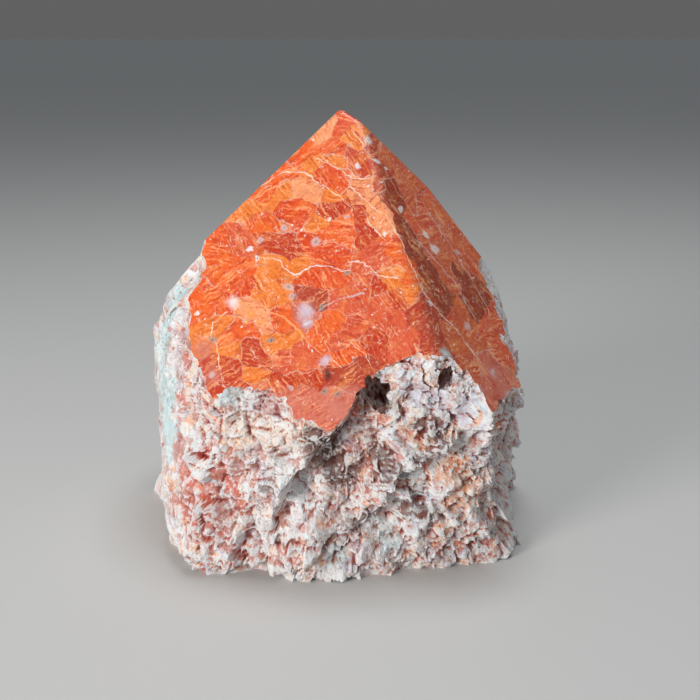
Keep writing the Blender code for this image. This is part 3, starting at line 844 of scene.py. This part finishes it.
class Graph:
    """Adds nodes to a material or a node group. Each method returns what comes out of the nodes it adds."""

    def __init__(self, tree):
        self.tree = tree

    def feed(self, socket, value):
        if isinstance(value, bpy.types.NodeSocket):
            self.tree.links.new(value, socket)
        elif value is not None:
            socket.default_value = value

    def feed_all(self, node, values):
        for socket, value in zip(node.inputs, values):
            self.feed(socket, value)

    def feed_named(self, node, values):
        for name, value in values.items():
            self.feed(node.inputs[name], value)
        return node

    def node(self, kind, *values, **settings):
        node = self.tree.nodes.new("ShaderNode" + kind)
        for name, value in settings.items():
            setattr(node, name, value)
        self.feed_all(node, values)
        return node

    def grouped(self, tree, *values):
        """Every result of a node group."""
        return self.node("Group", *values, node_tree=tree).outputs[:]

    def math(self, operation, *values):
        return self.node("Math", *values, operation=operation).outputs[0]

    def times(self, value, factor):
        return self.math("MULTIPLY", value, factor)

    def line(self, value, slope, start):
        """A value times a slope, counted from a start."""
        return self.math("MULTIPLY_ADD", value, slope, start)

    def either(self, share, one, other):
        """One value where a share is 1, and the other where it is 0."""
        return self.math("MULTIPLY_ADD", share, self.math("SUBTRACT", one, other), other)

    def between(self, value, low, high):
        """0 below the low value, 1 above the high one, and a smooth rise between them."""
        settings = {"interpolation_type": "SMOOTHSTEP", "clamp": False}
        return self.node("MapRange", value, low, high, **settings).outputs[0]

    def within(self, value, low, high):
        """1 below the low value, 0 above the high one, and a smooth fall between them."""
        return self.math("SUBTRACT", 1.0, self.between(value, low, high))

    def vector(self, operation, *values):
        node = self.node("VectorMath", *values, operation=operation)
        return node.outputs[1 if operation in ("DISTANCE", "DOT_PRODUCT") else 0]

    def scaled(self, vector, factor):
        return self.vector("SCALE", vector, None, None, factor)

    def mixed(self, share, first, second, blend="MIX"):
        node = self.node("Mix", share, data_type="RGBA", blend_type=blend)
        self.feed(node.inputs[6], first)
        self.feed(node.inputs[7], second)
        return node.outputs[2]

    def tinted(self, base, share, amount, name, blend="MIX"):
        """A named colour laid on by a share, and by no more than an amount."""
        return self.mixed(self.times(share, amount), base, colour(name), blend)

    def channel(self, shade, index):
        return self.node("SeparateColor", shade).outputs[index]

    def ramp(self, value, stops, interpolation="LINEAR"):
        """A colour by a value. Each stop is (value, colour)."""
        node = self.node("ValToRGB", value)
        node.color_ramp.interpolation = interpolation
        for position, _ in stops[2:]:
            node.color_ramp.elements.new(position)
        for element, (position, shade) in zip(node.color_ramp.elements, stops):
            element.position = position
            element.color = shade
        return node.outputs[0]

    def attribute(self, name):
        return self.node("Attribute", attribute_name=name).outputs["Fac"]

    def noise(self, place, size, detail=2.0, roughness=0.5, distortion=0.0, result="Fac"):
        node = self.node("TexNoise")
        self.feed_named(node, {"Vector": place, "Scale": 1 / size, "Detail": detail})
        self.feed_named(node, {"Roughness": roughness, "Distortion": distortion})
        return node.outputs[result]

    def cells(self, place, size, feature="F1"):
        node = self.node("TexVoronoi", feature=feature)
        return self.feed_named(node, {"Vector": place, "Scale": 1 / size}).outputs


# Kinds of the arguments of the steps below, which become node groups. The others are plain numbers
KINDS = {
    "Vector": ("place", "start", "run", "slant", "point", "points"),
    "Color": ("paint", "shade", "rim", "middle"),
}


@functools.cache
def group(step, running, inputs):
    """A node group of a step. It takes the step's arguments and gives the running ones, the first, back."""
    tree = bpy.data.node_groups.new(step.__name__.replace("_", " "), "ShaderNodeTree")
    names = list(inspect.signature(step).parameters)[1:]
    names += names[-1:] * (inputs - len(names))
    for direction, listed in (("INPUT", names), ("OUTPUT", names[:running])):
        for name in listed:
            kind = next((kind for kind, those in KINDS.items() if name in those), "Float")
            tree.interface.new_socket(name, in_out=direction, socket_type="NodeSocket" + kind)
    graph = Graph(tree)
    results = step(graph, *tree.nodes.new("NodeGroupInput").outputs[:inputs])
    graph.feed_all(tree.nodes.new("NodeGroupOutput"), results)
    return tree


def repeated(graph, step, running, rows):
    """The running values after a step for each row. A row holds what else the step takes."""
    for row in rows:
        running = graph.grouped(group(step, len(running), len(running) + len(row)), *running, *row)
    return running


def sight(mesh):
    """A function that gives the place on the stone behind a pixel of the photograph."""
    places = [vert.co for vert in mesh.vertices]
    tree = BVHTree.FromPolygons(places, [face.vertices for face in mesh.polygons])
    turn = Euler((math.radians(90 - CAMERA_PITCH), 0, 0)).to_matrix()

    def seen(pixel):
        ray = turn @ Vector((pixel[0] - MIDDLE, MIDDLE - pixel[1], -FOCAL))
        place = tree.ray_cast(CAMERA_PLACE, ray)[0]
        return CAMERA_PLACE + ray * STONE_DISTANCE / FOCAL if place is None else place

    return seen


def shaken(graph, place, *shakes):
    """Coordinates moved by noise, so that edges drawn with them waver. Each shake is (size, reach)."""
    for size, reach in shakes:
        centred = graph.vector("SUBTRACT", graph.noise(place, size, detail=1.0, result="Color"), (0.5,) * 3)
        place = graph.vector("MULTIPLY_ADD", centred, (2 * reach,) * 3, place)
    return place


def levelled(graph, place, moved):
    """Moved coordinates brought back to the level of the face that they were moved from."""
    normal = graph.node("NewGeometry").outputs["True Normal"]
    off = graph.vector("DOT_PRODUCT", graph.vector("SUBTRACT", moved, place), normal)
    return graph.vector("SUBTRACT", moved, graph.scaled(normal, off))


def nearest_of(graph, place, points):
    """Distance to the nearest of some points."""
    nearest = None
    for point in points:
        distance = graph.vector("DISTANCE", place, point)
        nearest = distance if nearest is None else graph.math("MINIMUM", nearest, distance)
    return nearest


def grain_step(graph, best, second, kind, place, value, *points):
    """Takes one more grain into account: the nearest and second nearest so far, and what the nearest is."""
    own = nearest_of(graph, place, points)
    closer = graph.math("LESS_THAN", own, best)
    second = graph.math("MINIMUM", second, graph.math("MAXIMUM", own, best))
    kind = graph.either(closer, value, kind)
    return graph.math("MINIMUM", own, best), second, kind


def placed_grains(graph, place, seen):
    """(palette place, border) of the grains listed for the photograph's two polished faces."""
    rng = random.Random(SEED)

    def row(name, *pixels):
        value = (list(COLOURS).index(name) + rng.uniform(0.1, 0.9)) / len(COLOURS)
        return place, value, *[seen(pixel) for pixel in (pixels * 4)[:4]]

    best, second, kind = repeated(graph, grain_step, (1.0, 1.0, 0.0), (row(*grain) for grain in GRAINS))
    return kind, graph.times(graph.math("SUBTRACT", second, best), 0.5)


def scattered_grains(graph, place):
    """(palette place, border) of grains scattered by rule, for the faces that the photograph hides."""
    draw = graph.channel(graph.cells(place, SCATTERED_SIZE)["Color"], 0)
    stops = []
    for turn, name in enumerate(SCATTERED):
        level = (list(COLOURS).index(name) + (turn + 1) / (len(SCATTERED) + 2)) / len(COLOURS)
        stops.append((turn / len(SCATTERED), (level, level, level, 1)))
    kind = graph.channel(graph.ramp(draw, stops, "CONSTANT"), 0)
    edge = graph.cells(place, SCATTERED_SIZE, "DISTANCE_TO_EDGE")["Distance"]
    return kind, graph.times(edge, SCATTERED_SIZE)


def named(stops):
    return [(position, colour(name)) for position, name in stops]


def palette_colour(graph, kind):
    stops = [(index / len(COLOURS), name) for index, name in enumerate(COLOURS)]
    return graph.ramp(kind, named(stops), "CONSTANT")


def painted(graph, paint, cover, share, shade):
    """Lays a colour over the paint so far. Paint is already weighted by its cover."""
    return graph.mixed(share, paint, shade), graph.either(share, 1.0, cover)


def laid_on(graph, base, paint, cover):
    """A colour under the paint."""
    return graph.mixed(1.0, graph.mixed(cover, base, BARE), paint, "ADD")


def stretch_step(graph, nearest, place, start, run, slant):
    """Takes one more straight stretch of a line into account in the distance to it."""
    offset = graph.vector("SUBTRACT", place, start)
    share = graph.math("MAXIMUM", graph.vector("DOT_PRODUCT", offset, slant), 0.0)
    foot = graph.scaled(run, graph.math("MINIMUM", share, 1.0))
    return (graph.math("MINIMUM", nearest, graph.vector("DISTANCE", offset, foot)),)


def vein_step(graph, paint, cover, distance, half_width, shade, presence):
    """Paints a line, from the distance to it."""
    share = graph.within(graph.math("DIVIDE", distance, half_width), 0.6, 1.3)
    return painted(graph, paint, cover, graph.times(share, presence), shade)


def vein_paint(graph, place, in_photo, seen):
    """(paint, cover) of the listed veins, each of a width that wavers along it."""
    swell = graph.math("MAXIMUM", graph.line(graph.noise(place, 2.5 * MM, detail=3.0), 2.3, -0.6), 0.08)
    presence = graph.times(in_photo, PRESENCE)

    def row(name, width, *pixels):
        points = [seen(pixel) for pixel in pixels]
        runs = [(start, end - start) for start, end in zip(points, points[1:])]
        stretches = [(place, start, run, run / run.length_squared) for start, run in runs]
        (distance,) = repeated(graph, stretch_step, (1.0,), stretches)
        return distance, graph.times(swell, width * MM * 0.5), colour(name), presence

    return repeated(graph, vein_step, UNPAINTED, (row(*vein) for vein in VEINS))


def spot_step(graph, paint, cover, place, point, size, inner, outer, rim, middle, presence):
    """Paints a round spot with its middle in a colour of its own."""
    ratio = graph.times(graph.vector("DISTANCE", place, point), size)
    share = graph.within(ratio, inner, outer)
    heart = graph.within(ratio, 0.05, 0.45)
    return painted(graph, paint, cover, graph.times(share, presence), graph.mixed(heart, rim, middle))


def spot_paint(graph, place, in_photo, seen):
    """(paint, cover) of the listed spots, each with a rim and a darker or lighter middle."""
    presence = graph.times(in_photo, PRESENCE)
    rows = []
    for rim, middle, softness, *spots in SPOTS:
        look = (0.8 - 0.7 * softness, 1.1 + 0.3 * softness, colour(rim), colour(middle), presence)
        rows += [(place, seen(pixel), 1 / (radius * MM), *look) for radius, pixel in spots]
    return repeated(graph, spot_step, UNPAINTED, rows)


def patch_step(graph, paint, cover, place, ragged, size, shade, presence, *points):
    """Paints patches of one colour with ragged edges."""
    ratio = graph.times(nearest_of(graph, place, points), graph.times(ragged, size))
    return painted(graph, paint, cover, graph.times(graph.within(ratio, 0.75, 1.1), presence), shade)


def patch_paint(graph, place, in_photo, seen):
    """(paint, cover) of the listed patches of colour on the broken sides, a few of them painted shade."""
    ragged = graph.line(graph.noise(place, 1.2 * MM, detail=4.0, roughness=0.7), 2.4, -0.2)

    def row(name, amount, radius, *pixels):
        middles = [seen(pixel) for pixel in (pixels * 5)[:5]]
        return place, ragged, 1 / (radius * MM), colour(name), graph.times(in_photo, amount), *middles

    return repeated(graph, patch_step, UNPAINTED, (row(*patch) for patch in PATCHES))


def striations(graph, place, kind):
    """Fine parallel lines inside the grains, in one of three directions for each grain."""
    draw = graph.math("FRACT", graph.times(kind, 7.31 * len(COLOURS)))
    lines = None
    for turn, degrees in enumerate(LINE_DIRECTIONS):
        lean = Euler((0, math.radians(degrees), 0)).to_matrix()
        squeeze = Matrix.Diagonal((1, LINE_SQUEEZE, LINE_SQUEEZE)) @ lean
        axes = [graph.vector("DOT_PRODUCT", place, row) for row in squeeze]
        stretched = graph.node("CombineXYZ", *axes).outputs[0]
        fine = graph.noise(stretched, LINE_SIZE, detail=3.0, roughness=0.6)
        if lines is not None:
            chosen = graph.math("GREATER_THAN", draw, turn / len(LINE_DIRECTIONS))
            fine = graph.either(chosen, fine, lines)
        lines = fine
    return lines


def two_toned(graph, base, pattern, amount, high, low):
    """Lays on one colour where a pattern is high and one where it is low. Each is (colour, from, to)."""
    for name, start, end in (high, low):
        base = graph.tinted(base, graph.between(pattern, start, end), amount, name)
    return base


def threads(graph, web, inner, outer, gate):
    """1 on thin lines that wander where a web of noise is at its middle, as far as a gate lets them."""
    off = graph.math("ABSOLUTE", graph.math("SUBTRACT", web, 0.5))
    return graph.times(graph.within(off, inner, outer), gate)


def grain_colour(graph, place, wavering, kind):
    """The grains' colours, clouded, lined and mottled."""
    base = graph.mixed(0.25, palette_colour(graph, kind), colour("ember"))
    clouds = graph.noise(place, CLOUD_SIZE, detail=6.0, roughness=0.65, distortion=0.6)
    base = two_toned(graph, base, clouds, 0.6, ("golden", 0.5, 0.75), ("red", 0.5, 0.28))
    lines = striations(graph, wavering, kind)
    lined = graph.between(graph.noise(place, 3.5 * MM, detail=3.0), 0.36, 0.60)
    lined = graph.line(lined, 0.65, 0.10)
    return two_toned(graph, base, lines, lined, ("peach", 0.50, 0.66), ("red", 0.50, 0.34))


def with_borders(graph, base, place, border):
    """Adds pale seams of varied width between the grains, each with a thin dark line in it."""
    seams = graph.noise(place, 7 * MM, detail=2.0)
    narrow, wide = SEAM_WIDTH
    width = graph.line(graph.between(seams, 0.44, 0.66), wide, narrow)
    pale = graph.within(graph.math("DIVIDE", border, width), 0.2, 1.0)
    base = graph.tinted(base, pale, 0.35, "cream")
    return graph.tinted(base, graph.within(border, 0.02 * MM, 0.12 * MM), 0.25, "maroon")


def with_flecks(graph, base, place):
    """Adds small white flecks in a few of the cells of a pattern."""
    flecks = graph.cells(shaken(graph, place, FLECK_SHAKE), FLECK_SIZE)
    few = graph.between(graph.channel(flecks["Color"], 1), 0.72, 0.76)
    small = graph.within(flecks["Distance"], 0.06, 0.14)
    return graph.tinted(base, graph.times(small, few), 0.85, "white")


def polished_colour(graph, place, seen):
    in_photo = graph.attribute("in_photo")
    wavering = shaken(graph, place, *GRAIN_SHAKES)
    level_place = levelled(graph, place, wavering)
    placed = placed_grains(graph, level_place, seen)
    scattered = scattered_grains(graph, wavering)
    kind, border = (graph.either(in_photo, one, other) for one, other in zip(placed, scattered))
    base = grain_colour(graph, place, wavering, kind)
    mottle = graph.noise(place, MOTTLE_SIZE, detail=4.0, roughness=0.7)
    base = two_toned(graph, base, mottle, 0.45, ("peach", 0.54, 0.68), ("red", 0.46, 0.32))
    base = with_borders(graph, base, place, border)
    web = graph.noise(wavering, THREAD_SIZE, detail=3.0, roughness=0.6, distortion=1.2)
    thread = threads(graph, web, 0.003, 0.010, graph.between(mottle, 0.40, 0.60))
    base = with_flecks(graph, graph.tinted(base, thread, 0.6, "cream"), place)
    base = laid_on(graph, base, *vein_paint(graph, level_place, in_photo, seen))
    uneven_place = levelled(graph, level_place, shaken(graph, level_place, SPOT_SHAKE))
    return laid_on(graph, base, *spot_paint(graph, uneven_place, in_photo, seen))


def with_hollows(graph, base):
    """Paints shade into the wide and the narrow hollows, and paints highlights on the edges that stand out.
    """
    # Painted shade in the hollows
    wide = graph.between(graph.attribute("hollow_wide"), 0.06, 0.6)
    base = graph.tinted(base, wide, 0.65, "maroon", "MULTIPLY")
    narrow = graph.between(graph.attribute("hollow_fine"), 0.04, 0.16)
    base = graph.tinted(base, narrow, 0.75, "rust", "MULTIPLY")
    # Painted highlight on the edges that stand out
    edges = graph.between(graph.attribute("hollow_fine"), -0.012, -0.09)
    return graph.tinted(base, edges, 0.7, "white")


def broken_colour(graph, place, seen):
    in_photo = graph.attribute("in_photo")
    wavering = shaken(graph, place, *ZONE_SHAKES)
    zones = graph.noise(wavering, ZONE_SIZE, detail=3.0, roughness=0.6)
    base = graph.ramp(zones, named(ZONES))
    draw = graph.channel(graph.cells(wavering, CRYSTAL_SIZE)["Color"], 0)
    base = graph.mixed(0.68, base, graph.ramp(draw, named(CRYSTALS), "CONSTANT"))
    fine = graph.noise(wavering, CRUMB_COLOUR_SIZE, detail=5.0, roughness=0.75)
    base = graph.tinted(base, graph.between(fine, 0.5, 0.68), 0.8, "white")
    base = graph.tinted(base, graph.between(fine, 0.47, 0.32), 0.6, "rose")
    base = laid_on(graph, base, *patch_paint(graph, wavering, in_photo, seen))
    web = graph.noise(wavering, CRACK_SIZE, detail=4.0, roughness=0.65, distortion=1.0)
    thread = threads(graph, web, 0.006, 0.022, graph.between(zones, 0.40, 0.56))
    # Last, shade is painted into the hollows and highlights onto the edges that stand out
    return with_hollows(graph, graph.tinted(base, thread, 0.6, "brown"))


def shader_of(material):
    """A graph of a material's nodes, and its shader."""
    material.use_nodes = True
    return Graph(material.node_tree), material.node_tree.nodes["Principled BSDF"]


def polished_stone(material, seen):
    """Finishes the material of the ground faces, which is duller on the sawn base."""
    graph, shader = shader_of(material)
    place = graph.node("TexCoord").outputs["Object"]
    graph.feed(shader.inputs["Base Color"], polished_colour(graph, place, seen))
    polish = graph.line(graph.noise(place, 3 * MM, detail=4.0, roughness=0.6), 0.3, 0.12)
    sawn = graph.times(graph.attribute("sawn"), 0.45)
    graph.feed_named(shader, {
        "Roughness": graph.math("ADD", polish, sawn),
        "IOR": REFRACTION,
        "Subsurface Weight": 0.15,
        "Subsurface Radius": (1.0, 0.35, 0.15),
        "Subsurface Scale": 2.5 * MM,
    })


def broken_stone(material, seen):
    """Finishes the material of the broken sides, with grit finer than the mesh as bump."""
    graph, shader = shader_of(material)
    place = graph.node("TexCoord").outputs["Object"]
    graph.feed(shader.inputs["Base Color"], broken_colour(graph, place, seen))
    grit = graph.noise(place, GRIT_SIZE, detail=5.0, roughness=0.7)
    chips = graph.cells(shaken(graph, place, CHIP_SHAKE), CHIP_SIZE)["Distance"]
    relief = {"Strength": 1.0, "Distance": CHIP_BUMP, "Height": graph.line(chips, 0.6, grit)}
    bump = graph.feed_named(graph.node("Bump"), relief)
    graph.feed_named(shader, {
        "Roughness": graph.line(grit, 0.5, 0.25),
        "IOR": REFRACTION,
        "Normal": bump.outputs[0],
    })


def add_face_values(mesh, name, values):
    mesh.attributes.new(name, "FLOAT", "FACE").data.foreach_set("value", values.astype(float))


def add_in_photo(mesh, broken):
    """Says of each face whether the photograph shows it, softly on broken sides, and if it is the base."""
    centres = np.array([face.center for face in mesh.polygons])
    normals = np.array([face.normal for face in mesh.polygons])
    on_broken = np.array([mesh.materials[face.material_index] == broken for face in mesh.polygons])
    to_camera = np.array(CAMERA_PLACE) - centres
    to_camera /= np.linalg.norm(to_camera, axis=1)[:, None]
    outward = centres - np.array(BLOCK_CENTRE + SHIFT)
    outward /= np.linalg.norm(outward, axis=1)[:, None]
    soft = ease(((outward * to_camera).sum(axis=1) + 0.05) / 0.3)
    sharp = (normals * to_camera).sum(axis=1) > 0.1
    add_face_values(mesh, "in_photo", np.where(on_broken, soft, sharp))
    add_face_values(mesh, "sawn", (normals[:, 2] < -0.99) & (centres[:, 2] < 0.1 * MM))


def sharpen_border(mesh):
    """Marks the edges where a polished face meets a broken one as sharp, so that the polish stays flat."""
    beside = {}
    for face in mesh.polygons:
        for key in face.edge_keys:
            beside.setdefault(key, set()).add(face.material_index)
    for edge in mesh.edges:
        if len(beside[edge.key]) > 1:
            edge.use_edge_sharp = True


def shaped_stone(broken, polished):
    """The rough block, cut to the ground point and its pits. A cut shows the material of what made it."""
    block, point = rough_block(), ground_point()
    cutters = [pit_cutter(*pit) for pit in PITS]
    for obj in (block, *cutters):
        obj.data.materials.append(broken)
    point.data.materials.append(polished)
    for cutter in cutters:
        add_boolean(point, "DIFFERENCE", cutter)
    add_boolean(block, "INTERSECT", point)
    mesh = bpy.data.meshes.new_from_object(block.evaluated_get(bpy.context.evaluated_depsgraph_get()))
    for helper in (block, point, *cutters):
        bpy.data.objects.remove(helper)
    return mesh


def stone():
    broken = bpy.data.materials.new("broken sunstone")
    polished = bpy.data.materials.new("polished sunstone")
    mesh = shaped_stone(broken, polished)
    mesh.name = "sunstone"
    cleaned(mesh)
    mesh.transform(Matrix.Translation(SHIFT))
    add_hollows(mesh)
    add_in_photo(mesh, broken)
    seen = sight(mesh)
    polished_stone(polished, seen)
    broken_stone(broken, seen)
    mesh.shade_smooth()
    mesh.set_sharp_from_angle(angle=math.radians(SHARP_ANGLE))
    sharpen_border(mesh)
    return new_object("sunstone", mesh)


def add_camera():
    data = bpy.data.cameras.new("camera")
    data.sensor_width = SENSOR
    data.lens = SENSOR * FOCAL / (2 * MIDDLE)
    camera = new_object("camera", data)
    camera.location = CAMERA_PLACE
    camera.rotation_euler = (math.radians(90 - CAMERA_PITCH), 0, 0)
    bpy.context.scene.camera = camera


def add_light(name, place, size, energy, shade):
    data = bpy.data.lights.new(name, "AREA")
    data.size = size
    data.energy = energy
    data.color = shade
    light = new_object(name, data)
    light.location = place
    light.rotation_mode = "QUATERNION"
    light.rotation_quaternion = (AIM - light.location).to_track_quat("-Z", "Y")


def add_floor():
    bpy.ops.mesh.primitive_circle_add(vertices=96, radius=30, fill_type="NGON")
    floor = bpy.context.object
    floor.name = "floor"
    material = bpy.data.materials.new("pale floor")
    graph, shader = shader_of(material)
    graph.feed_named(shader, {"Base Color": (0.62, 0.61, 0.59, 1), "Roughness": 0.6})
    floor.data.materials.append(material)


def add_sky():
    world = bpy.data.worlds.new("studio")
    bpy.context.scene.world = world
    world.use_nodes = True
    graph = Graph(world.node_tree)
    height = graph.node("SeparateXYZ", graph.node("TexCoord").outputs["Generated"]).outputs[2]
    sky = graph.mixed(graph.between(height, 0.0, 0.5), (0.5, 0.5, 0.51, 1), (0.78, 0.84, 0.9, 1))
    graph.feed_named(world.node_tree.nodes["Background"], {"Color": sky, "Strength": 0.24})


def add_studio():
    add_floor()
    add_sky()
    add_light("key", (-0.46, -0.52, 0.20), 0.26, 4.1, (1, 0.99, 0.97))
    add_light("top", (0.05, 0.02, 0.65), 0.3, 2.0, (0.95, 0.98, 1))


def as_lists(box):
    return [list(corner) for corner in box]


def main():
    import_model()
    cad_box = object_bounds()
    piece = stone()
    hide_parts("sunstone_point")
    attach(piece, "root")
    add_camera()
    add_studio()
    bpy.context.scene.view_settings.view_transform = "Standard"


main()
